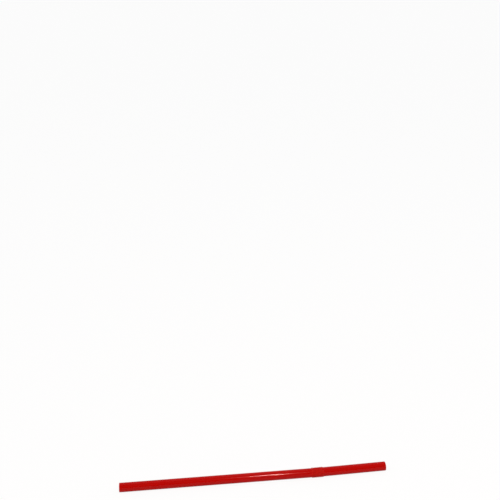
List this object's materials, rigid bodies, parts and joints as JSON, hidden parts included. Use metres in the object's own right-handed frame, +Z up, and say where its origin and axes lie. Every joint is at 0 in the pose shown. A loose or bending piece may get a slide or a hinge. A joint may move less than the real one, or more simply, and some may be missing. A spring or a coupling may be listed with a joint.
{
  "type": "flexible drinking straw",
  "caption": "Flexible drinking straw: a thin-walled round plastic tube with a folded bellows near its mouth end, lying on its side with the mouth end slightly bent.",
  "frame": {"origin": "on the surface the straw lies on, under the middle of its length and under the axis of its long leg; the bottom centre of its box is about three quarters of a millimetre away, because the mouth end leans to one side", "axes": "+X along the length, from the long end to the bellows and the mouth end, +Z up; the long leg climbs by a sixth of a degree to the crests that it lies on, and the mouth end leans towards +Y"},
  "size_m": [0.1801, 0.0082, 0.0067],
  "materials": {
    "polypropylene": "glossy red, slightly translucent"
  },
  "bodies": {
    "root": {"straw": "polypropylene"}
  },
  "joints": []
}
